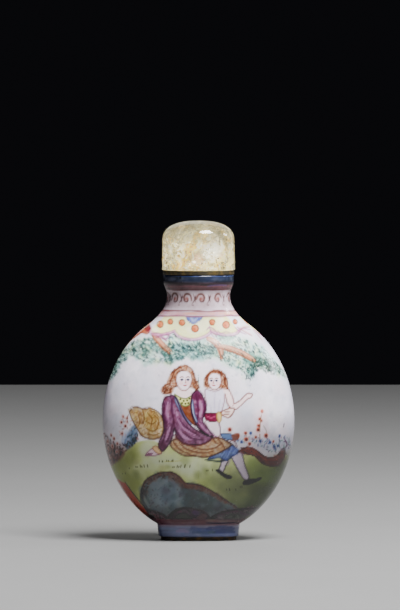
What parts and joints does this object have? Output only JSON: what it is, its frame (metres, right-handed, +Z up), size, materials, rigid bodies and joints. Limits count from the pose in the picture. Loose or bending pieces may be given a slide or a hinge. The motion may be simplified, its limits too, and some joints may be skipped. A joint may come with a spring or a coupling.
{
  "type": "snuff bottle",
  "caption": "Flattened egg-shaped snuff bottle of painted enamel on copper, with an oval foot, a short round neck and a domed rock crystal stopper on a gilt collar.",
  "frame": {"origin": "on the table under the middle of the oval foot, at the centre of the overall bounds in X and Y", "axes": "+Z up through the neck and stopper, +X along the broad width, -Y towards the painted front"},
  "size_m": [0.0338, 0.0196, 0.0563],
  "materials": {
    "enamel": "glossy vitreous painted enamel on copper, with gilt copper edges at the mouth and foot",
    "crystal": "polished pale yellow rock crystal, clear with cloudy veils",
    "gilt": "worn and tarnished gilding on copper",
    "cork": "dry cork"
  },
  "bodies": {
    "root": {"bottle": "enamel", "stopper_dome": "crystal", "stopper_collar": "gilt", "stopper_cork": "cork"}
  },
  "joints": []
}
